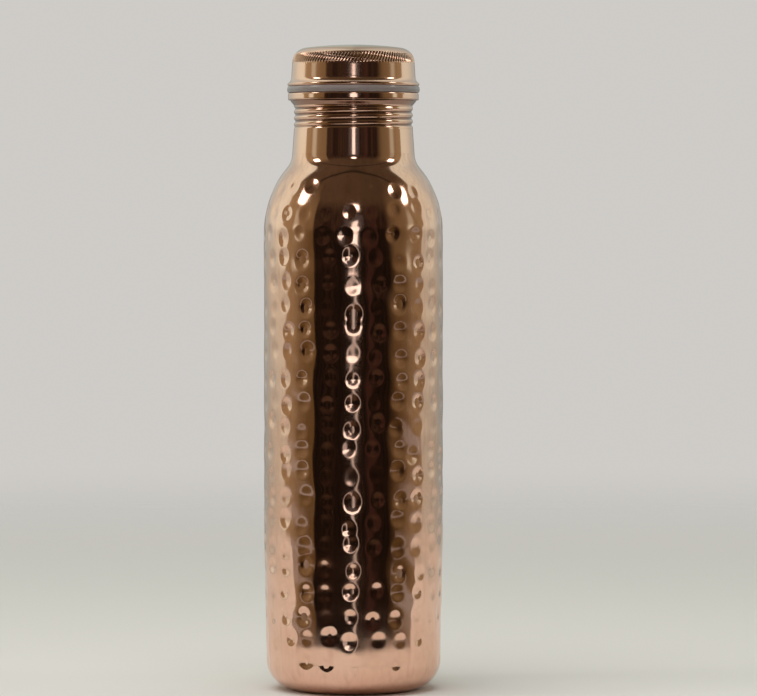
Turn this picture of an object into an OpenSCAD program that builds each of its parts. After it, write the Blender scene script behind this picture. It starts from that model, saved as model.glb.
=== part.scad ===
// Hammered copper water bottle with a screw cap. The bottle is a drawn sheet-copper body,
// a bottom plate and a brazed neck. The cap is a spun shell seamed onto a threaded plug,
// which screws into the neck and presses a silicone ring onto the neck's hemmed lip.
// Millimetres. +Z is up, and the origin is the centre of the ring that the bottle stands on.

/* [Body] */
// Outside radius of the straight body wall
body_r = 36.8; // [36.4:0.1:38]
// Outside radius where the wall meets the bottom corner
foot_r = 35.9; // [34:0.1:36.4]
// Height at which the lower wall starts to draw in
taper_z = 60; // [30:1:90]
// Height at which the shoulder starts
shoulder_z = 187.4; // [140:0.2:220]
// Radius of the shoulder's curve
shoulder_curve_r = 40; // [38:0.5:42]
// Thickness of the body's sheet
body_wall = 0.6; // [0.5:0.1:1]

/* [Bottom] */
// Radius of the bottom corner
corner_r = 12.5; // [8:0.5:14]
// Width of the flat ring that the bottle stands on
foot_flat = 1.6; // [1:0.1:2.4]
// Height of the ledge that carries the bottom plate
ledge_z = 4; // [3:0.5:6]
// Thickness of the bottom plate
plate_wall = 0.6; // [0.5:0.1:1]

/* [Neck] */
// Outside radius of the neck where it rises from the shoulder
neck_root_r = 25; // [25:0.1:25.4]
// Outside radius of the neck at its thread
neck_r = 24.3; // [24.2:0.05:24.4]
// Height of the neck from its root to the top of its lip
neck_h = 25.3; // [24:0.1:30]
// Outside radius of the hemmed lip
lip_r = 26.7; // [26.5:0.05:26.9]
// Thickness of the neck's sheet
neck_wall = 0.6; // [0.5:0.05:0.75]

/* [Thread] */
// Rise of the rolled thread in one turn
pitch = 2.6; // [2.4:0.1:2.8]
// Depth of the rolled ridges
ridge = 0.6; // [0.5:0.05:0.65]
// Gap between a ridge and the plain wall that it faces
thread_gap = 0.3; // [0.25:0.05:0.35]

/* [Cap] */
// Outside radius of the cap where its wall meets the rounded edge
cap_r = 25; // [24.9:0.05:25.2]
// Height of the cap from the seal to its crown
cap_h = 17; // [15:0.5:20]
// Radius of the cap's rounded upper edge
cap_edge_r = 5.8; // [4:0.1:6.4]
// Radius of the domed crown
crown_curve_r = 150; // [110:5:200]
// Thickness of the cap's and the plug's sheet
cap_wall = 0.5; // [0.4:0.05:0.7]
// Depth of the plug below the lip
plug_depth = 16; // [15.8:0.1:16.6]

/* [Seal] */
// Thickness of the seal when it is pressed
seal_t = 2.6; // [2:0.1:3]
// Outside radius of the seal
seal_r = 27.1; // [27:0.1:27.4]

/* [Hidden] */
$fn = 96;

sheet_gap = 0.05;      // between two sheets that lie on each other
seal_gap = 0.02;       // between the seal and the top of the lip
shoulder_angle = 38;   // the cone above the shoulder's curve, from vertical
root_fillet_r = 9;     // where that cone turns up into the neck
neck_slope = 4;        // the neck's taper, from vertical
collar_h = 0.6;        // how far the body's sheet runs up the neck
spigot_h = 5;          // how far the neck runs down inside the body's sheet

foot_turn_r = 1.2;     // the foot's inner turn, up from the flat
ledge_turn_r = 0.8;    // the turn from there onto the ledge
ledge_w = 3.4;         // how far the ledge reaches in under the plate
foot_in_r = foot_r - corner_r - foot_flat - foot_turn_r;

// The neck's root, where the shoulder's cone has turned up
shoulder_top = [body_r - shoulder_curve_r * (1 - cos(shoulder_angle)),
                shoulder_z + shoulder_curve_r * sin(shoulder_angle)];
root_centre_r = neck_root_r + root_fillet_r * cos(neck_slope);
cone_top_r = root_centre_r - root_fillet_r * cos(shoulder_angle);
cone_top_z = shoulder_top[1] + (shoulder_top[0] - cone_top_r) / tan(shoulder_angle);
root_centre_z = cone_top_z + root_fillet_r * sin(shoulder_angle);
root_z = root_centre_z - root_fillet_r * sin(neck_slope);
collar_z = root_z + collar_h;
collar_r = neck_root_r - collar_h * tan(neck_slope);

// The lip, and the flare below it
lip_z = root_z + neck_h;
lip_hem_h = 2.9;       // how far the hem comes down outside
lip_hem_r = neck_wall / 2 + sheet_gap;
lip_leg_r = lip_r - neck_wall / 2 - 2 * lip_hem_r;
flare_turn = 52;
flare_turn_r = (lip_leg_r - neck_r + neck_wall / 2) / 2 / (1 - cos(flare_turn));
flare_low_z = lip_z - lip_hem_h - 2 * flare_turn_r * sin(flare_turn);

// The thread in the neck, and the plug that it holds
neck_thread = [flare_low_z - 8.6, flare_low_z - 0.4];
plug_thread = [lip_z - 13.6, lip_z - 5.6];
neck_in_r = neck_r - neck_wall;
plug_r = neck_in_r - ridge - thread_gap;
plug_corner_r = 1.6;
plug_low_z = lip_z - plug_depth;

// The cap's crown, and its rounded edge, on the middle of the sheet
seat_z = lip_z + seal_t;
crown_z = seat_z + cap_h;
edge_centre_r = cap_r - cap_wall / 2 - cap_edge_r;
crown_angle = asin(edge_centre_r / (crown_curve_r - cap_edge_r));
crown_centre_z = crown_z - cap_wall / 2 - crown_curve_r;
edge_centre_z = crown_centre_z + (crown_curve_r - cap_edge_r) * cos(crown_angle);

// The cap's wall, and its skirt, hemmed under the plug's flange
cap_slope = 3.5;       // the wall's flare, from vertical
skirt_turn = 55;
skirt_turn_r = 3.1;
skirt_hem_r = cap_wall + sheet_gap;
skirt_hem_z = seat_z + cap_wall / 2 + skirt_hem_r;
skirt_centre_z = skirt_hem_z + (skirt_turn_r + skirt_hem_r) * sin(skirt_turn);
wall_top = [edge_centre_r + cap_edge_r * cos(cap_slope), edge_centre_z + cap_edge_r * sin(cap_slope)];
wall_low_z = skirt_centre_z - skirt_turn_r * sin(cap_slope);
wall_low_r = wall_top[0] + (wall_top[1] - wall_low_z) * tan(cap_slope);
skirt_centre_r = wall_low_r + skirt_turn_r * cos(cap_slope);
skirt_hem_centre_r = skirt_centre_r - (skirt_turn_r + skirt_hem_r) * cos(skirt_turn);

// The mesh of the rolled threads
columns = 48;
rows_per_pitch = 6;
fade = 0.7 * pitch;    // over which a thread runs out
lap = 0.4;             // how far each end of the mesh is buried in a plain collar
lap_skin = 0.08;       // and how deep

// Points round an arc about [r, z], with both ends
function arc(r, z, radius, from, to, steps = 10) =
    [for (i = [0:steps]) let (a = from + (to - from) * i / steps)
        [r + radius * cos(a), z + radius * sin(a)]];

// The path without points that repeat the one before
function joined(path) =
    [for (i = [0:len(path) - 1]) if (i == 0 || norm(path[i] - path[i - 1]) > 0.001) path[i]];

function reversed(path) = [for (i = [len(path) - 1:-1:0]) path[i]];

function left_of(a, b) = let (step = (b - a) / norm(b - a)) [-step[1], step[0]];

// The path moved sideways by d to its left, with mitred corners
function beside(path, d) =
    let (last = len(path) - 1)
    [for (i = [0:last])
        let (before = left_of(path[max(i - 1, 0)], path[max(i, 1)]),
             after = left_of(path[min(i, last - 1)], path[min(i + 1, last)]))
        path[i] + d * (before + after) / (1 + before * after)];

// A sheet turned about the axis. The path is its face on the right-hand side
module turned_sheet(path, thickness) {
    face = joined(path);
    rotate_extrude() polygon(concat(face, reversed(beside(face, thickness))));
}

// The same, from the middle of the sheet
module turned_sheet_on(middle, thickness) {
    turned_sheet(beside(joined(middle), -thickness / 2), thickness);
}

function smooth(t) = let (u = max(0, min(1, t))) u * u * (3 - 2 * u);

// How far a rolled ridge stands at an angle and height, from 0 to 1. It climbs one pitch
// in a turn, as a right-hand thread does, and runs out at the ends of its span
function ridge_at(angle, z, span, phase) =
    let (turn = (z - lip_z) / pitch - angle / 360 + phase,
         wave = (1 + cos(360 * turn)) / 2)
    pow(wave, 1.5) * smooth((z - span[0]) / fade) * smooth((span[1] - z) / fade);

// A tube whose sheet is rolled into a helical ridge: outward where stand is positive.
// r is the plain sheet's outside radius
module rolled_tube(r, wall, stand, span, phase) {
    low = span[0] - lap / 2;
    high = span[1] + lap / 2;
    rows = ceil((high - low) / pitch * rows_per_pitch);
    outer = [for (i = [0:rows], j = [0:columns - 1])
        let (z = low + (high - low) * i / rows, a = 360 * j / columns,
             here = r + stand * ridge_at(a, z, span, phase))
        [here * cos(a), here * sin(a), z]];
    inner = [for (p = outer) let (k = 1 - wall / norm([p[0], p[1]])) [p[0] * k, p[1] * k, p[2]]];
    all = len(outer);
    top = rows * columns;
    sides = [for (i = [0:rows - 1], j = [0:columns - 1])
        let (a = i * columns + j, b = i * columns + (j + 1) % columns,
             c = b + columns, d = a + columns)
        each [[a, d, c], [a, c, b], [a + all, b + all, c + all], [a + all, c + all, d + all]]];
    ends = [for (j = [0:columns - 1]) let (k = (j + 1) % columns)
        each [[j, k, k + all], [j, k + all, j + all],
              [top + j, top + j + all, top + k + all], [top + j, top + k + all, top + k]]];
    polyhedron(concat(outer, inner), concat(sides, ends));
}

// A plain ring of sheet, from z - lap to z + lap, that holds one end of a rolled tube
module collar(r, wall, z) {
    turned_sheet([[r + lap_skin, z - lap], [r + lap_skin, z + lap]], wall + 2 * lap_skin);
}

// Wall, shoulder and rounded corner, turned in under the foot to a ledge
module body_shell() {
    color([0.80, 0.50, 0.36])
    turned_sheet(concat(
        [[foot_in_r - ledge_w, ledge_z]],
        arc(foot_in_r - ledge_turn_r, ledge_z - ledge_turn_r, ledge_turn_r, 90, 0, 4),
        arc(foot_in_r + foot_turn_r, foot_turn_r, foot_turn_r, 180, 270, 5),
        arc(foot_r - corner_r, corner_r, corner_r, 270, 360, 14),
        [[body_r, taper_z]],
        arc(body_r - shoulder_curve_r, shoulder_z, shoulder_curve_r, 0, shoulder_angle, 14),
        arc(root_centre_r, root_centre_z, root_fillet_r,
            180 + shoulder_angle, 180 + neck_slope, 10),
        [[collar_r, collar_z - collar_h / 3], [collar_r, collar_z]]), body_wall);
}

// Pressed plate, brazed onto the ledge from inside
module bottom_plate() {
    plate_r = foot_in_r - ledge_turn_r;
    z = ledge_z + body_wall;
    panel_r = foot_in_r - ledge_w - 1.5;
    panel_h = 1.6;
    color([0.78, 0.48, 0.34])
    turned_sheet([[0, z + panel_h], [panel_r - panel_h, z + panel_h], [panel_r, z],
                  [plate_r, z]], plate_wall);
}

// Neck that the cap screws into, with a lip hemmed outward
module neck_tube() {
    spigot_r = collar_r - body_wall - sheet_gap;
    low = neck_thread[0] - 2 * lap;
    color([0.80, 0.50, 0.36]) {
        turned_sheet([[spigot_r, collar_z - spigot_h], [spigot_r, collar_z],
                      [collar_r, collar_z], [neck_r, low], [neck_r, neck_thread[0] - lap / 2]],
                     neck_wall);
        collar(neck_r, neck_wall, neck_thread[0]);
        rolled_tube(neck_r, neck_wall, -ridge, neck_thread, 0);
        collar(neck_r, neck_wall, neck_thread[1]);
        turned_sheet_on(concat(
            [[neck_r - neck_wall / 2, neck_thread[1] + lap / 2]],
            arc(neck_r - neck_wall / 2 + flare_turn_r, flare_low_z, flare_turn_r,
                180, 180 - flare_turn, 6),
            arc(lip_leg_r - flare_turn_r, lip_z - lip_hem_h, flare_turn_r, -flare_turn, 0, 6),
            arc(lip_leg_r + lip_hem_r, lip_z - neck_wall / 2 - lip_hem_r, lip_hem_r, 180, 0, 8),
            [[lip_leg_r + 2 * lip_hem_r, lip_z - lip_hem_h]]), neck_wall);
    }
}

// Ring on the plug, pressed between the skirt's hem and the lip
module seal_ring() {
    bore_r = plug_r + 0.3;
    edge_r = 0.5;
    bulge = 0.15;
    low_z = lip_z + seal_gap;
    color([0.86, 0.85, 0.83])
    rotate_extrude() polygon(concat(
        arc(bore_r + edge_r, low_z + edge_r, edge_r, 180, 270, 4),
        arc(seal_r - bulge - edge_r, low_z + edge_r, edge_r, 270, 340, 4),
        [[seal_r, lip_z + seal_t / 2]],
        arc(seal_r - bulge - edge_r, lip_z + seal_t - edge_r, edge_r, 20, 90, 4),
        arc(bore_r + edge_r, lip_z + seal_t - edge_r, edge_r, 90, 180, 4)));
}

// Spun shell with a domed crown. Its flared skirt is hemmed under the plug's flange
module cap_shell() {
    leg_in_r = plug_r + 0.6;
    crown = arc(0, crown_centre_z, crown_curve_r, 90 - crown_angle / 8, 90 - crown_angle, 7);
    color([0.82, 0.52, 0.38])
    turned_sheet_on(reversed(concat(
        [[0, crown[0][1]]],
        crown,
        arc(edge_centre_r, edge_centre_z, cap_edge_r, 90 - crown_angle, cap_slope, 12),
        arc(skirt_centre_r, skirt_centre_z, skirt_turn_r, 180 + cap_slope, 180 + skirt_turn, 8),
        arc(skirt_hem_centre_r, skirt_hem_z, skirt_hem_r, skirt_turn, -90, 10),
        [[leg_in_r, seat_z + cap_wall / 2]])), cap_wall);
}

// Cup with the rolled thread, whose flange is seamed into the cap shell's skirt
module cap_plug() {
    mid_r = plug_r - cap_wall / 2;
    flange_turn_r = 0.5;
    color([0.78, 0.48, 0.34]) {
        turned_sheet_on(concat(
            [[0, plug_low_z + cap_wall / 2]],
            arc(mid_r - plug_corner_r, plug_low_z + cap_wall / 2 + plug_corner_r,
                plug_corner_r, 270, 360, 6),
            [[mid_r, plug_thread[0] - lap / 2]]), cap_wall);
        collar(plug_r, cap_wall, plug_thread[0]);
        rolled_tube(plug_r, cap_wall, ridge, plug_thread, 0.5);
        collar(plug_r, cap_wall, plug_thread[1]);
        turned_sheet_on(concat(
            [[mid_r, plug_thread[1] + lap / 2]],
            arc(mid_r + flange_turn_r, skirt_hem_z - flange_turn_r, flange_turn_r, 180, 90, 5),
            [[skirt_hem_centre_r, skirt_hem_z]]), cap_wall);
    }
}

body_shell();
bottom_plate();
neck_tube();
seal_ring();
cap_shell();
cap_plug();
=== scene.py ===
"""Looks of the hammered copper water bottle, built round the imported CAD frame.

Every piece is turned about the Z axis from a profile in millimetres, in the CAD's own frame.
Angles round the axis are measured from the front (-Y), positive towards +X.
"""

import math
import random

import bpy
import numpy as np
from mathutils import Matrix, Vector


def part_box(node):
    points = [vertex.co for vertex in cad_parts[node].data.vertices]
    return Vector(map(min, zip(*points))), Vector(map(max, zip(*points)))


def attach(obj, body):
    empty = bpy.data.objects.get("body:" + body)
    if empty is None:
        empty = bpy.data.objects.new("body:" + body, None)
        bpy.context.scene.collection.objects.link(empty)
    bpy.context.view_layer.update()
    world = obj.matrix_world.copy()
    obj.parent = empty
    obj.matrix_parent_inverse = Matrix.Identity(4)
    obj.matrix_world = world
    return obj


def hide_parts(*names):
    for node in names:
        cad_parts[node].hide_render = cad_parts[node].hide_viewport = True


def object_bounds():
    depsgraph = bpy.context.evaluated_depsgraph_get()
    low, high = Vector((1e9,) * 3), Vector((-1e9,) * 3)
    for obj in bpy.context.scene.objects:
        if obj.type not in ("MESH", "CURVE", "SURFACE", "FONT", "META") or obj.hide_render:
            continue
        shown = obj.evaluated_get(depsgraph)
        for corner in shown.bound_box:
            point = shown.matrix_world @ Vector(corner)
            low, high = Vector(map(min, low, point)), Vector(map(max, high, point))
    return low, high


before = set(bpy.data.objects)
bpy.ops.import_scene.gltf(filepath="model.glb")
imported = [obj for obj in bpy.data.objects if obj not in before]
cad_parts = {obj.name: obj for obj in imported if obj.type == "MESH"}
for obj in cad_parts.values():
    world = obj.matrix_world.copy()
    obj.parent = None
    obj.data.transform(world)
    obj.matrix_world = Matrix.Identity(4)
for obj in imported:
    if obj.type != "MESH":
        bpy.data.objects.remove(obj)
cad_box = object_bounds()

MM = 0.001


# ---------------------------------------------------------------- dimensions, in millimetres

def node_box(name):
    """Lowest z, highest z and largest radius of a CAD node."""
    low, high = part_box(name)
    return low.z / MM, high.z / MM, high.x / MM


_, COLLAR_Z, BODY_R = node_box("body_shell")
NECK_LOW_Z, LIP_Z, LIP_R = node_box("neck_tube")
_, SEAT_Z, SEAL_R = node_box("seal_ring")
_, CROWN_Z, _ = node_box("cap_shell")
PLUG_LOW_Z, _, _ = node_box("cap_plug")
PLATE_Z, PLATE_TOP_Z, PLATE_R = node_box("bottom_plate")

# Body
FOOT_R = BODY_R - 0.9
TAPER_Z = 60
SHOULDER_Z = 187.4
SHOULDER_CURVE_R = 40
SHOULDER_ANGLE = 38
ROOT_FILLET_R = 9
CORNER_R = 12.5
FOOT_FLAT = 1.6
FOOT_TURN_R = 1.2
LEDGE_TURN_R = 0.8
LEDGE_W = 3.4
LEDGE_Z = 4
BODY_WALL = 0.6

# Neck
COLLAR_H = 0.6
NECK_ROOT_R = 25
NECK_R = 24.3
NECK_WALL = 0.6
NECK_SLOPE = 4
COLLAR_R = NECK_ROOT_R - COLLAR_H * math.tan(math.radians(NECK_SLOPE))
LIP_HEM_H = 2.9
LIP_HEM_GAP = 0.16
SHEET_GAP = 0.05
FLARE_TURN = 40
FLARE_TURN_R = 1

# Thread
PITCH = 2.6
RIDGE = 0.6
THREAD_GAP = 0.3
FADE = 0.7 * PITCH

# Cap
CAP_R = 25
CAP_WALL = 0.5
CAP_SLOPE = 3.5
CAP_EDGE_R = 5.8
CROWN_CURVE_R = 150
SKIRT_TURN = 55
SKIRT_TURN_R = 3.1
KNURLS = 116
KNURL_DEPTH = 0.34
KNURL_LEAN = 0.55          # sideways for each unit up

# Hammering
DENT_COLUMNS = 23
DENT_ROWS = 21
DENT_LOW_Z = 12.5
DENT_HIGH_Z = 204.5
DENT_R = 3.5
DENT_DEPTH = 0.48


# ---------------------------------------------------------------- profiles and meshes

def arc(r, z, radius, start, end, steps):
    """Points round an arc about (r, z), from one angle to another, in degrees."""
    angles = np.radians(np.linspace(start, end, steps + 1))
    return [(r + radius * math.cos(a), z + radius * math.sin(a)) for a in angles]


def without_repeats(path):
    kept = [path[0]]
    for point in path[1:]:
        if math.dist(point, kept[-1]) > 1e-3:
            kept.append(point)
    return np.array(kept, float)


def lefts(path):
    """At each point, the mitred direction to the path's left."""
    steps = np.diff(path, axis=0)
    steps /= np.linalg.norm(steps, axis=1)[:, None]
    sides = np.stack([-steps[:, 1], steps[:, 0]], axis=1)
    before = np.vstack([sides[:1], sides])
    after = np.vstack([sides, sides[-1:]])
    return (before + after) / (1 + (before * after).sum(1))[:, None]


def resampled(path, spacing):
    """The same path with points no further apart than spacing."""
    points = [path[0]]
    for a, b in zip(path[:-1], path[1:]):
        count = max(1, math.ceil(math.dist(a, b) / spacing))
        points += [a + (b - a) * i / count for i in range(1, count + 1)]
    return np.array(points)


def ring(radius, z, columns):
    """One ring of points; radius may be an array with one value a column."""
    angle = np.linspace(0, 2 * math.pi, columns, endpoint=False)
    radius = np.broadcast_to(radius, columns)
    height = np.broadcast_to(z, columns)
    return np.stack([radius * np.sin(angle), -radius * np.cos(angle), height], axis=1)


def strip_faces(first, count_a, second, count_b):
    """Faces between two rings whose point counts are equal, or one a multiple of the other."""
    if count_a < count_b:
        return [f[::-1] for f in strip_faces(second, count_b, first, count_a)]
    if count_b == 1:
        return [(first + i, first + (i + 1) % count_a, second) for i in range(count_a)]
    if count_a == count_b:
        return [(first + i, first + (i + 1) % count_a,
                 second + (i + 1) % count_a, second + i) for i in range(count_a)]
    share = count_a // count_b
    faces = []
    for j in range(count_b):
        here, after = second + j, second + (j + 1) % count_b
        for k in range(share):
            i = j * share + k
            apex = here if k < share / 2 else after
            faces.append((first + i, first + (i + 1) % count_a, apex))
        middle = first + (j * share + math.ceil(share / 2)) % count_a
        faces.append((middle, after, here))
    return faces


def lofted(name, rings, closed=True):
    """A mesh object through a list of rings, each ring an array of points in millimetres."""
    starts = np.cumsum([0] + [len(r) for r in rings])
    faces = []
    pairs = list(zip(range(len(rings) - 1), range(1, len(rings))))
    if closed:
        pairs.append((len(rings) - 1, 0))
    for a, b in pairs:
        faces += strip_faces(int(starts[a]), len(rings[a]), int(starts[b]), len(rings[b]))
    mesh = bpy.data.meshes.new(name)
    mesh.from_pydata((np.vstack(rings) * MM).tolist(), [], faces)
    mesh.validate()
    mesh.polygons.foreach_set("use_smooth", [True] * len(mesh.polygons))
    mesh.set_sharp_from_angle(angle=math.radians(50))
    if signed_volume(mesh) < 0:
        mesh.flip_normals()
    piece = bpy.data.objects.new(name, mesh)
    bpy.context.scene.collection.objects.link(piece)
    return piece


def signed_volume(mesh):
    """Negative when the mesh is inside out."""
    mesh.calc_loop_triangles()
    corners = np.zeros(len(mesh.loop_triangles) * 3, np.int32)
    mesh.loop_triangles.foreach_get("vertices", corners)
    points = np.zeros(len(mesh.vertices) * 3, np.float32)
    mesh.vertices.foreach_get("co", points)
    a, b, c = (points.reshape(-1, 3)[corners.reshape(-1, 3)[:, k]] for k in range(3))
    return float((a * np.cross(b, c)).sum())


def smooth(t):
    t = np.clip(t, 0, 1)
    return t * t * (3 - 2 * t)


def rolled(radius, z, columns, span, stand, phase):
    """A ring whose radius follows the rolled thread: a right-hand ridge that stands by stand."""
    from_x = np.linspace(-0.25, 0.75, columns, endpoint=False)
    turn = (z - LIP_Z) / PITCH - from_x + phase
    wave = ((1 + np.cos(2 * math.pi * turn)) / 2) ** 1.5
    fade = smooth((z - span[0]) / FADE) * smooth((span[1] - z) / FADE)
    return ring(radius + stand * wave * fade, z, columns)


# ---------------------------------------------------------------- body

def body_profile():
    """The body's outside face, from the ledge under the plate out and up to the collar."""
    foot_in_r = FOOT_R - CORNER_R - FOOT_FLAT - FOOT_TURN_R
    fall = math.radians(SHOULDER_ANGLE)
    slope = math.radians(NECK_SLOPE)
    top_r = BODY_R - SHOULDER_CURVE_R * (1 - math.cos(fall))
    top_z = SHOULDER_Z + SHOULDER_CURVE_R * math.sin(fall)
    root_r = NECK_ROOT_R + ROOT_FILLET_R * math.cos(slope)
    cone_r = root_r - ROOT_FILLET_R * math.cos(fall)
    cone_z = top_z + (top_r - cone_r) / math.tan(fall)
    root_z = cone_z + ROOT_FILLET_R * math.sin(fall)
    return without_repeats(
        [(foot_in_r - LEDGE_W, LEDGE_Z)]
        + arc(foot_in_r - LEDGE_TURN_R, LEDGE_Z - LEDGE_TURN_R, LEDGE_TURN_R, 90, 0, 6)
        + arc(foot_in_r + FOOT_TURN_R, FOOT_TURN_R, FOOT_TURN_R, 180, 270, 8)
        + arc(FOOT_R - CORNER_R, CORNER_R, CORNER_R, 270, 360, 26)
        + [(BODY_R, TAPER_Z)]
        + arc(BODY_R - SHOULDER_CURVE_R, SHOULDER_Z, SHOULDER_CURVE_R, 0, SHOULDER_ANGLE, 40)
        + arc(root_r, root_z, ROOT_FILLET_R, 180 + SHOULDER_ANGLE, 180 + NECK_SLOPE, 16)
        + [(COLLAR_R, COLLAR_Z)])


def hammering(profile, columns):
    """How deep each point of the body's grid lies under the smooth sheet: rows by columns."""
    rng = random.Random(7)
    along = np.concatenate([[0], np.cumsum(np.linalg.norm(np.diff(profile, axis=0), axis=1))])
    wall = int(np.argmax(profile[:, 0]))
    outside = np.arange(len(profile)) > int(np.argmin(profile[:wall, 1]))
    low = np.interp(DENT_LOW_Z, profile[outside, 1], along[outside])
    high = np.interp(DENT_HIGH_Z, profile[outside, 1], along[outside])
    angle = np.linspace(0, 2 * math.pi, columns, endpoint=False)
    depth = np.zeros((len(profile), columns))
    drift = 0
    for row in range(DENT_ROWS):
        drift = 0.7 * drift + rng.gauss(0, 1.2)
        for column in range(DENT_COLUMNS):
            where = low + (high - low) * (row + rng.gauss(0, 0.11)) / (DENT_ROWS - 1)
            turn = math.radians(column * 360 / DENT_COLUMNS + drift + rng.gauss(0, 1.3))
            wide = DENT_R * rng.uniform(0.84, 1.08)
            tall = wide * rng.uniform(1.04, 1.22)
            deep = DENT_DEPTH * rng.uniform(0.3, 1.12)
            press_dent(depth, profile, along, angle, where, turn, wide, tall, deep)
    slow = np.zeros_like(depth)
    for _ in range(14):
        waves = rng.randint(3, 13)
        length = rng.uniform(14, 60)
        size = 0.012 + 0.0007 * length
        slow += size * np.sin(along[:, None] * 2 * math.pi / length
                              + waves * angle[None, :] + rng.uniform(0, 2 * math.pi))
    fade = smooth((along - low + 8) / 10) * smooth((high + 6 - along) / 10)
    return depth + (slow - slow.min()) * 0.6 * fade[:, None]


def press_dent(depth, profile, along, angle, where, turn, wide, tall, deep):
    """Adds one dent, and the shallow dish that its blow leaves round it, to the depths."""
    reach = 2.1
    rows = np.nonzero(abs(along - where) < tall * reach)[0]
    radius = np.interp(where, along, profile[:, 0])
    across = (angle - turn + math.pi) % (2 * math.pi) - math.pi
    near = np.nonzero(abs(across) * radius < wide * reach)[0]
    u = (along[rows, None] - where) / tall
    v = across[None, near] * radius / wide
    far = np.sqrt(u * u + v * v)
    cup = np.where(far < 1, (1 - np.minimum(far, 1) ** 2) ** 1.5, 0)
    dish = np.where(far < reach, (1 - (np.minimum(far, reach) / reach) ** 2) ** 2, 0)
    depth[np.ix_(rows, near)] += deep * (cup + 0.14 * dish)


def body_shell():
    columns = 280
    inner_columns = 56
    outline = body_profile()
    outer = resampled(outline, 0.8)
    sides = lefts(outer)
    depth = hammering(outer, columns)
    rings = [ring(p[0] + side[0] * d, p[1] + side[1] * d, columns)
             for p, side, d in zip(outer, sides, depth)]
    inside = outline + lefts(outline) * BODY_WALL
    inner = resampled(inside[::2][::-1], 9)
    rings += [ring(r, z, inner_columns) for r, z in inner]
    piece = lofted("body_shell_hammered", rings)
    store_depth(piece, depth / DENT_DEPTH)
    return piece


def store_depth(piece, depth):
    """Keeps each point's depth on the mesh, 0 to 1, for the material to read; on the neck it also
    holds the under-lip mask, and on the neck and cap the copper paints shade where it is high.
    """
    values = np.zeros(len(piece.data.vertices), np.float32)
    flat = np.clip(depth.ravel(), 0, 1)
    values[:len(flat)] = flat
    layer = piece.data.attributes.new("hollow_depth", "FLOAT", "POINT")
    layer.data.foreach_set("value", values)


def bottom_plate():
    columns = 128
    panel_r = PLATE_R + LEDGE_TURN_R - LEDGE_W - 1.5
    wall = 0.6
    panel_h = PLATE_TOP_Z - PLATE_Z - wall
    lower = without_repeats(
        [(0.001, PLATE_Z + panel_h), (panel_r - 2 * panel_h, PLATE_Z + panel_h)]
        + arc(panel_r - 2 * panel_h, PLATE_Z + panel_h / 2, panel_h / 2, 90, 40, 5)
        + arc(panel_r, PLATE_Z + panel_h / 2, panel_h / 2, 220, 270, 5)
        + [(PLATE_R, PLATE_Z)])
    upper = lower + lefts(lower) * wall
    rings = [np.array([[0, 0, PLATE_Z + panel_h]])]
    rings += [ring(r, z, columns) for r, z in lower[1:]]
    rings += [ring(r, z, columns) for r, z in upper[:0:-1]]
    rings += [np.array([[0, 0, PLATE_Z + panel_h + wall]])]
    return lofted("bottom_plate_pressed", rings, closed=False)


# ---------------------------------------------------------------- neck

def neck_span():
    """Lowest and highest z of the neck's thread, where the lip's flare starts, and the radius
    of the sheet inside the lip's hem."""
    leg_r = LIP_R - NECK_WALL / 2 - 2 * (NECK_WALL / 2 + LIP_HEM_GAP)
    turn = math.radians(FLARE_TURN)
    cone_w = leg_r - NECK_R + NECK_WALL / 2 - 2 * FLARE_TURN_R * (1 - math.cos(turn))
    flare_h = 2 * FLARE_TURN_R * math.sin(turn) + cone_w / math.tan(turn)
    flare_z = LIP_Z - LIP_HEM_H - flare_h
    return flare_z - 9.6, flare_z + 0.6, flare_z, leg_r


def neck_tube():
    columns = 288
    low, high, flare_z, leg_r = neck_span()
    mid_r = NECK_R - NECK_WALL / 2
    hem_r = NECK_WALL / 2 + LIP_HEM_GAP
    spigot_r = COLLAR_R - BODY_WALL - SHEET_GAP - NECK_WALL / 2
    collar_mid_r = COLLAR_R - NECK_WALL / 2
    collar_mid_z = COLLAR_Z + NECK_WALL / 2
    middle = without_repeats(
        [(spigot_r, NECK_LOW_Z), (spigot_r, collar_mid_z), (collar_mid_r, collar_mid_z),
         (mid_r, low), (mid_r, flare_z)]
        + arc(mid_r + FLARE_TURN_R, flare_z, FLARE_TURN_R, 180, 180 - FLARE_TURN, 6)
        + arc(leg_r - FLARE_TURN_R, LIP_Z - LIP_HEM_H, FLARE_TURN_R, -FLARE_TURN, 0, 6)
        + arc(leg_r + hem_r, LIP_Z - NECK_WALL / 2 - hem_r, hem_r, 180, 0, 12)
        + [(leg_r + 2 * hem_r, LIP_Z - LIP_HEM_H + 0.3)]
        + arc(leg_r + 2 * hem_r - 0.3, LIP_Z - LIP_HEM_H + 0.3, 0.3, 0, -50, 3))
    middle = resampled(middle, 0.3)
    sides = lefts(middle) * NECK_WALL / 2
    loop = np.vstack([middle - sides, (middle + sides)[::-1]])
    rings = [rolled(r, z, columns, (low, high), -RIDGE, 0) for r, z in loop]
    # Groove depths, which the material darkens as painted shade in the thread's grooves.
    grooves = [(r - np.hypot(points[:, 0], points[:, 1])) / RIDGE
               for points, (r, z) in zip(rings, loop)]
    # Mask over the flare under the lip's hem, where the material paints shade.
    under_lip_shade = (smooth((loop[:, 1] - flare_z) / 0.5)
                 * smooth((LIP_Z - LIP_HEM_H + 0.2 - loop[:, 1]) / 0.4))
    piece = lofted("neck_tube_rolled", rings)
    store_depth(piece, np.array(grooves) + under_lip_shade[:, None])
    return piece


# ---------------------------------------------------------------- seal and cap

def plug_r():
    return NECK_R - NECK_WALL - RIDGE - THREAD_GAP


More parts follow.
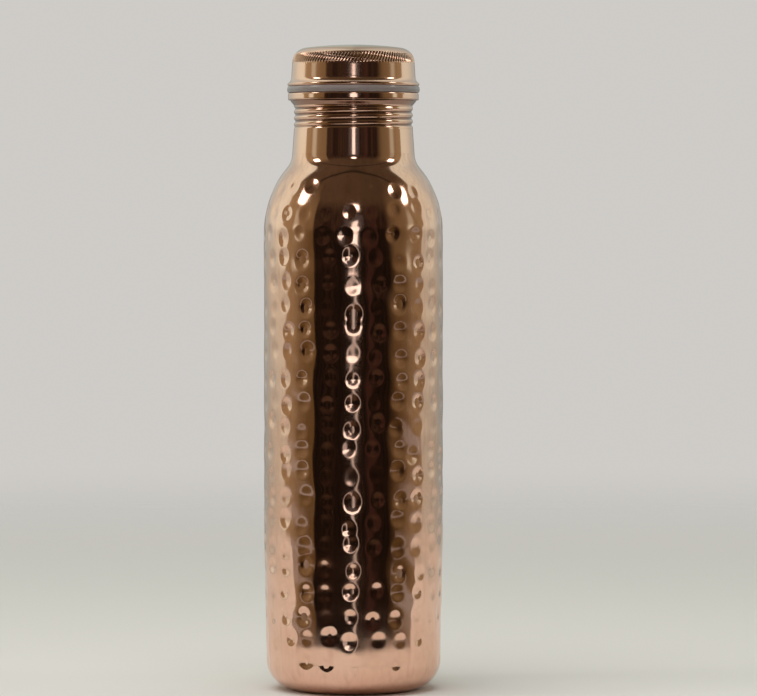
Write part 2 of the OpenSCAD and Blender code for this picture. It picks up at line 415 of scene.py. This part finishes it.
def seal_ring():
    columns = 160
    bore_r = plug_r() + 0.3
    edge_r = 0.5
    bulge = 0.15
    loop = without_repeats(
        arc(bore_r + edge_r, LIP_Z + edge_r, edge_r, 180, 270, 5)
        + arc(SEAL_R - bulge - edge_r, LIP_Z + edge_r, edge_r, 270, 350, 5)
        + arc(SEAL_R - 3.2, (LIP_Z + SEAT_Z) / 2, 3.2, -12, 12, 5)
        + arc(SEAL_R - bulge - edge_r, SEAT_Z - edge_r, edge_r, 10, 90, 5)
        + arc(bore_r + edge_r, SEAT_Z - edge_r, edge_r, 90, 179, 5))
    return lofted("seal_ring_silicone", [ring(r, z, columns) for r, z in loop])


def cap_curves():
    """Centres of the cap's rounded edge, its skirt's flare and its hem, with the crown's angle."""
    hem_r = CAP_WALL + SHEET_GAP
    slope, turn = math.radians(CAP_SLOPE), math.radians(SKIRT_TURN)
    edge_r = CAP_R - CAP_WALL / 2 - CAP_EDGE_R
    crown_angle = math.asin(edge_r / (CROWN_CURVE_R - CAP_EDGE_R))
    edge_z = (CROWN_Z - CAP_WALL / 2 - CROWN_CURVE_R
              + (CROWN_CURVE_R - CAP_EDGE_R) * math.cos(crown_angle))
    hem_z = SEAT_Z + CAP_WALL / 2 + hem_r
    skirt_z = hem_z + (SKIRT_TURN_R + hem_r) * math.sin(turn)
    wall_r = edge_r + CAP_EDGE_R * math.cos(slope)
    wall_h = edge_z - skirt_z + (CAP_EDGE_R + SKIRT_TURN_R) * math.sin(slope)
    skirt_r = wall_r + wall_h * math.tan(slope) + SKIRT_TURN_R * math.cos(slope)
    hem_centre_r = skirt_r - (SKIRT_TURN_R + hem_r) * math.cos(turn)
    return (edge_r, edge_z), (skirt_r, skirt_z), (hem_centre_r, hem_z), math.degrees(crown_angle)


def cap_shell():
    plain_columns = KNURLS * 2
    knurl_columns = KNURLS * 8
    edge, skirt, hem, crown_angle = cap_curves()
    crown_z = CROWN_Z - CAP_WALL / 2 - CROWN_CURVE_R
    middle = resampled(without_repeats(
        arc(0, crown_z, CROWN_CURVE_R, 90 - crown_angle / 24, 90 - crown_angle, 23)
        + arc(*edge, CAP_EDGE_R, 90 - crown_angle, CAP_SLOPE, 32)
        + arc(*skirt, SKIRT_TURN_R, 180 + CAP_SLOPE, 180 + SKIRT_TURN, 14)
        + arc(*hem, CAP_WALL + SHEET_GAP, SKIRT_TURN, -90, 14)
        + [(plug_r() + 0.6, SEAT_Z + CAP_WALL / 2)]), 0.9)
    sides = lefts(middle) * CAP_WALL / 2
    outer, inner = middle + sides, middle - sides
    down = np.concatenate([[0], np.cumsum(np.linalg.norm(np.diff(outer, axis=0), axis=1))])
    rings = [np.array([[0, 0, outer[0][1]]])]
    cuts = [np.zeros(1)]
    for (r, z), fall, share in zip(outer, down, knurl_band(outer)):
        cut = share * knurl_groove(knurl_columns if share > 0 else plain_columns, fall)
        rings.append(ring(r - 0.85 * KNURL_DEPTH * cut, z - 0.5 * KNURL_DEPTH * cut, len(cut)))
        cuts.append(cut)
    rings += [ring(r, z, plain_columns // 2) for r, z in inner[::-1]]
    rings.append(np.array([[0, 0, inner[0][1]]]))
    piece = lofted("cap_shell_spun", rings, closed=False)
    # The knurl's cuts, which the material darkens as painted shade in the grooves.
    store_depth(piece, np.concatenate(cuts))
    return piece


def knurl_band(outer):
    """How strongly each profile point is knurled: 0 off the band, up to 1 in its middle."""
    top, bottom = CROWN_Z - 3.3, CROWN_Z - 7.7
    z = outer[:, 1]
    on_edge = outer[:, 0] > CAP_R - CAP_EDGE_R
    share = smooth((top - z) / 0.5) * smooth((z - bottom) / 0.7)
    return np.where(on_edge, share, 0)


def knurl_groove(columns, fall):
    """How deep the slanting grooves cut round a ring, 0 to 1, at fall down the cap's outline."""
    angle = np.linspace(0, 2 * math.pi, columns, endpoint=False)
    return (0.5 + 0.5 * np.cos(KNURLS * (angle + KNURL_LEAN * fall / CAP_R))) ** 1.1


def cap_plug():
    columns = 192
    span = (LIP_Z - 13.6, LIP_Z - 5.6)
    mid_r = plug_r() - CAP_WALL / 2
    corner_r = 1.6
    turn_r = 0.5
    hem_centre_r, hem_z = cap_curves()[2]
    low_z = PLUG_LOW_Z + CAP_WALL / 2
    middle = resampled(without_repeats(
        [(1.0, low_z)]
        + arc(mid_r - corner_r, low_z + corner_r, corner_r, 270, 360, 8)
        + [(mid_r, span[0]), (mid_r, span[1])]
        + arc(mid_r + turn_r, hem_z - turn_r, turn_r, 180, 90, 5)
        + [(hem_centre_r, hem_z)]), 0.35)
    sides = lefts(middle) * CAP_WALL / 2
    outer, inner = middle - sides, middle + sides
    rings = [np.array([[0, 0, outer[0][1]]])]
    rings += [rolled(r, z, columns, span, RIDGE, 0.5) for r, z in outer]
    rings += [rolled(r, z, columns, span, RIDGE, 0.5) for r, z in inner[::-1]]
    rings.append(np.array([[0, 0, inner[0][1]]]))
    return lofted("cap_plug_rolled", rings, closed=False)


# ---------------------------------------------------------------- materials

class Nodes:
    """Short ways to add shader nodes to one tree. An input is a socket, a number or a colour."""

    def __init__(self, tree):
        self.tree = tree
        tree.nodes.clear()

    def add(self, kind, **settings):
        node = self.tree.nodes.new(kind)
        for key, value in settings.items():
            setattr(node, key, value)
        return node

    def put(self, socket, value):
        if isinstance(value, bpy.types.NodeSocket):
            self.tree.links.new(value, socket)
        else:
            socket.default_value = value

    def math(self, operation, *values):
        node = self.add("ShaderNodeMath", operation=operation)
        for socket, value in zip(node.inputs, values):
            self.put(socket, value)
        return node.outputs[0]

    def ramp(self, value, low, high, to_low=0.0, to_high=1.0):
        """A smooth step from to_low to to_high as value goes from low to high."""
        node = self.add("ShaderNodeMapRange", interpolation_type="SMOOTHSTEP")
        for socket, given in zip(node.inputs, (value, low, high, to_low, to_high)):
            self.put(socket, given)
        return node.outputs[0]

    def band(self, value, low, high, soft):
        """1 between low and high, falling to 0 over soft on either side of each limit."""
        half = soft / 2
        return self.math("MULTIPLY", self.ramp(value, low - half, low + half),
                         self.ramp(value, high - half, high + half, 1.0, 0.0))

    def blend(self, share, first, second, mode="MIX"):
        node = self.add("ShaderNodeMix", data_type="RGBA", blend_type=mode)
        self.put(node.inputs[0], share)
        self.put(node.inputs[6], first)
        self.put(node.inputs[7], second)
        return node.outputs[2]

    def noise(self, vector, scale, detail=3.0, roughness=0.5):
        node = self.add("ShaderNodeTexNoise")
        self.put(node.inputs["Vector"], vector)
        self.put(node.inputs["Scale"], scale)
        self.put(node.inputs["Detail"], detail)
        self.put(node.inputs["Roughness"], roughness)
        return node.outputs["Fac"]

    def add_grey(self, value):
        """A grey colour whose brightness is the value."""
        node = self.add("ShaderNodeCombineColor")
        for socket in node.inputs:
            self.put(socket, value)
        return node.outputs[0]

    def stretched(self, vector, x, y, z):
        node = self.add("ShaderNodeMapping")
        self.put(node.inputs["Vector"], vector)
        self.put(node.inputs["Scale"], (x, y, z))
        return node.outputs[0]


def copper(name, bright, deep, roughness, lines, streaks=0.0, hollow_shade=0.0):
    """Polished copper. lines is the strength of the fine turning lines round the axis, streaks that of
    the darkening in the dents' hollows and along upright marks left by hammering, and hollow_shade
    that of the painted shade in the neck's grooves, the knurl's cuts and under the lip's hem."""
    material = bpy.data.materials.new(name)
    material.use_nodes = True
    nodes = Nodes(material.node_tree)
    place = nodes.add("ShaderNodeTexCoord").outputs["Object"]
    cloud = nodes.noise(place, 38.0, 4.0, 0.55)
    fine = nodes.noise(place, 420.0, 3.0, 0.6)
    rubbed = nodes.noise(nodes.stretched(place, 60.0, 60.0, 900.0), 1.0, 2.0, 0.6)
    colour = nodes.blend(nodes.ramp(cloud, 0.3, 0.72), bright, deep)
    hollow = nodes.add("ShaderNodeAttribute", attribute_name="hollow_depth").outputs["Fac"]
    # Painted shade: darkens the copper where hollow_depth is high, in the thread's grooves, the
    # knurl's cuts and the flare under the lip's hem.
    if hollow_shade:
        colour = nodes.blend(nodes.math("MULTIPLY", nodes.ramp(hollow, 0.15, 0.80), hollow_shade),
                             colour, (deep[0] * 0.20, deep[1] * 0.16, deep[2] * 0.15, 1.0))
    if streaks:
        upright = nodes.noise(nodes.stretched(place, 420.0, 420.0, 75.0), 1.0, 3.0, 0.6)
        # Darker in the dents' hollows, broken up by fine noise, and along random upright streaks.
        darker_marks = nodes.math("MULTIPLY", nodes.ramp(hollow, 0.1, 0.9), nodes.ramp(fine, 0.2, 0.8))
        darker_marks = nodes.math("MAXIMUM", darker_marks, nodes.ramp(upright, 0.40, 0.80))
        colour = nodes.blend(nodes.math("MULTIPLY", darker_marks, streaks), colour,
                             (deep[0] * 0.76, deep[1] * 0.70, deep[2] * 0.70, 1.0))
    rough = nodes.math("MULTIPLY_ADD", nodes.ramp(cloud, 0.3, 0.75), 0.05, roughness)
    rough = nodes.math("MULTIPLY_ADD", rubbed, 0.05, rough)
    height = nodes.math("MULTIPLY_ADD", rubbed, lines, nodes.math("MULTIPLY", fine, 0.25))
    bump = nodes.add("ShaderNodeBump")
    nodes.put(bump.inputs["Strength"], 0.12)
    nodes.put(bump.inputs["Distance"], 0.00004)
    nodes.put(bump.inputs["Height"], height)
    shader = nodes.add("ShaderNodeBsdfPrincipled")
    nodes.put(shader.inputs["Metallic"], 1.0)
    nodes.put(shader.inputs["Base Color"], colour)
    nodes.put(shader.inputs["Roughness"], rough)
    nodes.put(shader.inputs["Normal"], bump.outputs[0])
    output = nodes.add("ShaderNodeOutputMaterial")
    nodes.put(output.inputs["Surface"], shader.outputs[0])
    return material


def silicone():
    material = bpy.data.materials.new("silicone_translucent")
    material.use_nodes = True
    nodes = Nodes(material.node_tree)
    place = nodes.add("ShaderNodeTexCoord").outputs["Object"]
    cloud = nodes.noise(place, 160.0, 3.0)
    fine = nodes.noise(place, 1400.0, 2.0)
    shader = nodes.add("ShaderNodeBsdfPrincipled")
    nodes.put(shader.inputs["Base Color"],
              nodes.blend(cloud, (0.30, 0.255, 0.25, 1.0), (0.36, 0.31, 0.305, 1.0)))
    nodes.put(shader.inputs["Roughness"], nodes.math("MULTIPLY_ADD", fine, 0.10, 0.17))
    nodes.put(shader.inputs["Subsurface Weight"], 0.35)
    nodes.put(shader.inputs["Subsurface Radius"], (0.003, 0.003, 0.003))
    nodes.put(shader.inputs["IOR"], 1.55)
    bump = nodes.add("ShaderNodeBump")
    nodes.put(bump.inputs["Strength"], 0.2)
    nodes.put(bump.inputs["Distance"], 0.00005)
    nodes.put(bump.inputs["Height"], fine)
    nodes.put(shader.inputs["Normal"], bump.outputs[0])
    output = nodes.add("ShaderNodeOutputMaterial")
    nodes.put(output.inputs["Surface"], shader.outputs[0])
    return material


# ---------------------------------------------------------------- studio, in metres

FLOOR_COLOUR = (0.77, 0.75, 0.73, 1.0)
FAR_TABLE = (0.345, 0.333, 0.32, 1.0)
BACKDROP = (0.62, 0.60, 0.575, 1.0)
TABLE_R = 0.172            # how far in front the polished wall mirrors the table
TABLE_BACK = -0.05         # behind this y the whole floor is mirrored
TABLE_EDGE = 0.004         # over which the mirrored table ends
FLOOR_R = 2.4
FADE_START, FADE_END = 0.3, 1.44       # from the axis, where the floor fades into the backdrop


def studio_world():
    """A dim room in front under a brown ceiling, timber walls beside it, and a pale sweep round
    the sides and back. Bearings are degrees from the front, and rises degrees over the horizon."""
    world = bpy.data.worlds.new("studio")
    world.use_nodes = True
    bpy.context.scene.world = world
    nodes = Nodes(world.node_tree)
    way = nodes.add("ShaderNodeSeparateXYZ")
    nodes.put(way.inputs[0], nodes.add("ShaderNodeTexCoord").outputs["Generated"])
    x, y, z = way.outputs
    bearing = nodes.math("DEGREES", nodes.math("ARCTAN2", x, nodes.math("MULTIPLY", y, -1.0)))
    side = nodes.math("ABSOLUTE", bearing)
    rise = nodes.math("DEGREES", nodes.math("ARCSINE", z))
    right = nodes.ramp(bearing, -30.0, 30.0)
    upper = nodes.ramp(rise, -5.0, 5.0)

    light = dim_room(nodes, bearing, rise)
    light = nodes.blend(nodes.ramp(rise, 16.0, 40.0), light, (0.080, 0.057, 0.034, 1.0))
    timber = nodes.blend(nodes.ramp(side, 56.0, 98.0), (0.100, 0.064, 0.024, 1.0),
                         (0.30, 0.235, 0.135, 1.0))
    timber = nodes.blend(nodes.math("MULTIPLY", upper, 0.29), timber, (0.42, 0.34, 0.20, 1.0))
    timber = nodes.blend(nodes.ramp(rise, 22.0, 50.0), timber, (0.085, 0.060, 0.036, 1.0))
    near = nodes.math("MULTIPLY_ADD", right, -9.0, 51.5)
    far = nodes.math("MULTIPLY_ADD", right, 6.5, 53.5)
    light = nodes.blend(nodes.ramp(side, near, far), light, timber)
    light = with_ceiling_beam(nodes, light, y, z)
    light = with_glow(nodes, light, bearing, rise)
    light = with_far_table(nodes, light, side, rise)

    low_sweep = nodes.blend(nodes.ramp(side, 104.0, 158.0), (0.53, 0.56, 0.49, 1.0),
                            (0.37, 0.44, 0.43, 1.0))
    high_sweep = nodes.blend(nodes.ramp(side, 114.0, 152.0), (0.82, 0.92, 0.82, 1.0),
                             (0.55, 0.63, 0.62, 1.0))
    sweep = nodes.blend(upper, low_sweep, high_sweep)
    rim = nodes.blend(nodes.ramp(rise, 2.0, 6.0), (0.30, 0.28, 0.25, 1.0), (0.42, 0.48, 0.44, 1.0))
    sweep = nodes.blend(nodes.ramp(side, 157.0, 170.0), sweep, rim)
    edge = nodes.math("MULTIPLY_ADD", nodes.ramp(rise, 0.0, 6.0), 5.5, 96.0)
    light = nodes.blend(nodes.ramp(side, edge, nodes.math("ADD", edge, 2.0)), light, sweep)
    shade = nodes.math("MULTIPLY_ADD", right, -0.16, 1.0)
    light = nodes.blend(1.0, light, nodes.add_grey(shade), "MULTIPLY")
    light = with_lamps(nodes, light, bearing, rise)

    seen = nodes.add("ShaderNodeLightPath").outputs["Is Camera Ray"]
    shader = nodes.add("ShaderNodeBackground")
    nodes.put(shader.inputs["Color"], nodes.blend(seen, light, BACKDROP))
    output = nodes.add("ShaderNodeOutputWorld")
    nodes.put(output.inputs["Surface"], shader.outputs[0])


def dim_room(nodes, bearing, rise):
    """The dark front of the room, with faint red and brown uprights."""
    across = nodes.add("ShaderNodeCombineXYZ")
    nodes.put(across.inputs[0], bearing)
    nodes.put(across.inputs[1], nodes.math("MULTIPLY", rise, 0.12))
    streaks = nodes.noise(across.outputs[0], 0.33, 3.0, 0.6)
    streak = nodes.ramp(streaks, 0.40, 0.74)
    low = nodes.blend(streak, (0.007, 0.005, 0.004, 1.0), (0.030, 0.019, 0.012, 1.0))
    high = nodes.blend(streak, (0.019, 0.011, 0.008, 1.0), (0.066, 0.041, 0.026, 1.0))
    room = nodes.blend(nodes.ramp(rise, 0.0, 4.0), low, high)
    room = nodes.blend(nodes.ramp(rise, -18.0, -8.0, 1.0, 0.0), room, (0.060, 0.038, 0.024, 1.0))
    return nodes.blend(nodes.math("MULTIPLY", nodes.band(bearing, 19.0, 27.0, 4.0), 0.5), room,
                       (0.070, 0.034, 0.026, 1.0))


def with_ceiling_beam(nodes, light, y, z):
    """A dark beam across the ceiling in front, parallel to X."""
    lean = nodes.math("DIVIDE", nodes.math("MULTIPLY", y, -1.0), nodes.math("MAXIMUM", z, 0.05))
    beam = nodes.band(lean, 0.255, 0.305, 0.02)
    return nodes.blend(nodes.math("MULTIPLY", beam, 0.85), light, (0.004, 0.003, 0.002, 1.0))


def with_glow(nodes, light, bearing, rise):
    """Daylight on the timber at either side, strongest just over the horizon."""
    for low, high in ((-85.0, -75.0), (74.0, 83.0)):
        strong = nodes.math("MULTIPLY", nodes.ramp(rise, 0.0, 1.4),
                            nodes.ramp(rise, 2.5, 6.5, 1.0, 0.42))
        glow = nodes.math("MULTIPLY", nodes.band(bearing, low, high, 5.0), strong)
        glow = nodes.math("MULTIPLY", glow, nodes.ramp(rise, 14.0, 24.0, 1.0, 0.0))
        light = nodes.blend(glow, light, (0.80, 0.88, 0.76, 1.0))
    return light


def with_far_table(nodes, light, side, rise):
    """The table's far ends at either side, just under the horizon, past where it is modelled."""
    edge = nodes.math("MAXIMUM", nodes.math("MULTIPLY_ADD", rise, 20.0, 170.0), 52.0)
    share = nodes.math("MULTIPLY", nodes.ramp(side, edge, nodes.math("ADD", edge, 3.0)),
                       nodes.ramp(rise, -4.8, -3.6, 1.0, 0.0))
    share = nodes.math("MULTIPLY", share, nodes.ramp(rise, -8.0, -6.4))
    return nodes.blend(share, light, FAR_TABLE)


def with_lamps(nodes, light, bearing, rise):
    """A narrow bright doorway straight in front, and three small lamps."""
    low_slit = nodes.math("MULTIPLY", nodes.band(bearing, -1.4, 1.6, 1.2),
                          nodes.ramp(rise, 0.0, 1.0, 1.0, 0.0))
    halo = nodes.math("MULTIPLY", nodes.band(bearing, -9.0, 10.0, 6.0),
                      nodes.band(rise, 0.8, 18.0, 1.6))
    light = nodes.blend(nodes.math("MULTIPLY", halo, 0.75), light, (0.095, 0.095, 0.10, 1.0))
    light = nodes.blend(low_slit, light, (0.55, 0.55, 0.55, 1.0))
    half = nodes.ramp(rise, 2.5, 6.0, 5.2, 1.9)
    off_axis = nodes.math("ABSOLUTE", nodes.math("SUBTRACT", bearing, 0.5))
    slit = nodes.math("MULTIPLY", nodes.ramp(off_axis, half, nodes.math("ADD", half, 1.7), 1.0, 0.0),
                      nodes.band(rise, 0.6, 11.0, 1.2))
    light = nodes.blend(slit, light, nodes.add_grey(nodes.ramp(rise, 3.0, 6.0, 1.7, 1.35)))
    for start, end, low, high, power in ((-85.0, -73.0, 27.0, 37.0, 8.0),
                                         (75.0, 87.0, 27.0, 37.0, 7.0),
                                         (-3.0, 4.5, 24.0, 31.0, 5.0)):
        lamp = nodes.math("MULTIPLY", nodes.band(bearing, start, end, 5.0),
                          nodes.band(rise, low, high, 5.0))
        light = nodes.blend(lamp, light, (power, power * 0.96, power * 0.9, 1.0))
    return light


def studio_light():
    """A broad soft light overhead, which the polished copper doesn't mirror."""
    light = bpy.data.lights.new("overhead", "AREA")
    light.shape = "DISK"
    light.size = 3.0
    light.energy = 64.0
    light.color = (1.0, 0.985, 0.95)
    lamp = bpy.data.objects.new("overhead", light)
    lamp.location = (-0.4, -1.2, 2.5)
    lamp.rotation_euler = (math.radians(-25.6), math.radians(-8.2), 0)
    lamp.visible_glossy = False
    bpy.context.scene.collection.objects.link(lamp)


def studio_floor():
    """A pale table top that fades into the backdrop, and is mirrored only near the bottle in front."""
    bpy.ops.mesh.primitive_circle_add(vertices=128, radius=FLOOR_R, fill_type="NGON",
                                      location=(0, 0, cad_box[0].z - 0.0001))
    floor = bpy.context.object
    floor.name = "studio_floor"
    material = bpy.data.materials.new("pale_floor")
    material.use_nodes = True
    nodes = Nodes(material.node_tree)
    place = nodes.add("ShaderNodeTexCoord").outputs["Object"]
    parts = nodes.add("ShaderNodeSeparateXYZ")
    nodes.put(parts.inputs[0], place)
    span = nodes.add("ShaderNodeVectorMath", operation="LENGTH")
    nodes.put(span.inputs[0], place)
    kept = nodes.ramp(span.outputs["Value"], FADE_START, FADE_END, 1.0, 0.0)
    mirrored = nodes.add("ShaderNodeLightPath").outputs["Is Glossy Ray"]
    table = nodes.math("MAXIMUM",
                       nodes.ramp(span.outputs["Value"], TABLE_R, TABLE_R + TABLE_EDGE, 1.0, 0.0),
                       nodes.ramp(parts.outputs[1], TABLE_BACK - TABLE_EDGE, TABLE_BACK))
    gone = nodes.math("MULTIPLY", mirrored, nodes.math("SUBTRACT", 1.0, table))
    share = nodes.math("MULTIPLY", kept, nodes.math("SUBTRACT", 1.0, gone))
    paint = nodes.add("ShaderNodeBsdfDiffuse")
    nodes.put(paint.inputs["Color"], FLOOR_COLOUR)
    clear = nodes.add("ShaderNodeBsdfTransparent")
    either = nodes.add("ShaderNodeMixShader")
    nodes.put(either.inputs[0], share)
    nodes.put(either.inputs[1], clear.outputs[0])
    nodes.put(either.inputs[2], paint.outputs[0])
    output = nodes.add("ShaderNodeOutputMaterial")
    nodes.put(output.inputs["Surface"], either.outputs[0])
    floor.data.materials.append(material)


def studio_camera():
    """Long lens at the height of the neck, looking a little down and a little to the right."""
    camera = bpy.data.objects.new("camera", bpy.data.cameras.new("camera"))
    bpy.context.scene.collection.objects.link(camera)
    camera.data.lens = 195.1
    camera.data.sensor_width = 36.0
    camera.data.clip_end = 50.0
    camera.location = (0.0, -1.68, 0.2007)
    camera.rotation_euler = (math.radians(90 - 2.08), 0.0, math.radians(-0.35))
    bpy.context.scene.camera = camera


# ---------------------------------------------------------------- the bottle

def dressed(piece, material, body, node):
    """Gives a piece its material, and ties it to the CAD body that it rides and node it replaces."""
    piece.data.materials.append(material)
    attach(piece, body)
    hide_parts(node)


PALE_COPPER = (0.94, 0.615, 0.475, 1.0)
WARM_COPPER = (0.90, 0.555, 0.405, 1.0)
RED_COPPER = (0.82, 0.46, 0.33, 1.0)

studio_world()
studio_light()
studio_floor()
studio_camera()

hammered = copper("copper_hammered", PALE_COPPER, WARM_COPPER, 0.045, 0.15, streaks=0.5)
# polished and spun carry painted shade in their grooves, their knurl and under the lip's hem.
polished = copper("copper_polished", PALE_COPPER, WARM_COPPER, 0.05, 0.5, hollow_shade=0.8)
spun = copper("copper_spun", PALE_COPPER, WARM_COPPER, 0.08, 0.9, hollow_shade=0.6)
pressed = copper("copper_pressed", WARM_COPPER, RED_COPPER, 0.14, 0.6)

dressed(body_shell(), hammered, "bottle", "body_shell")
dressed(bottom_plate(), pressed, "bottle", "bottom_plate")
dressed(neck_tube(), polished, "bottle", "neck_tube")
dressed(seal_ring(), silicone(), "seal", "seal_ring")
dressed(cap_shell(), spun, "cap", "cap_shell")
dressed(cap_plug(), pressed, "cap", "cap_plug")

bpy.context.scene.view_settings.view_transform = "Standard"
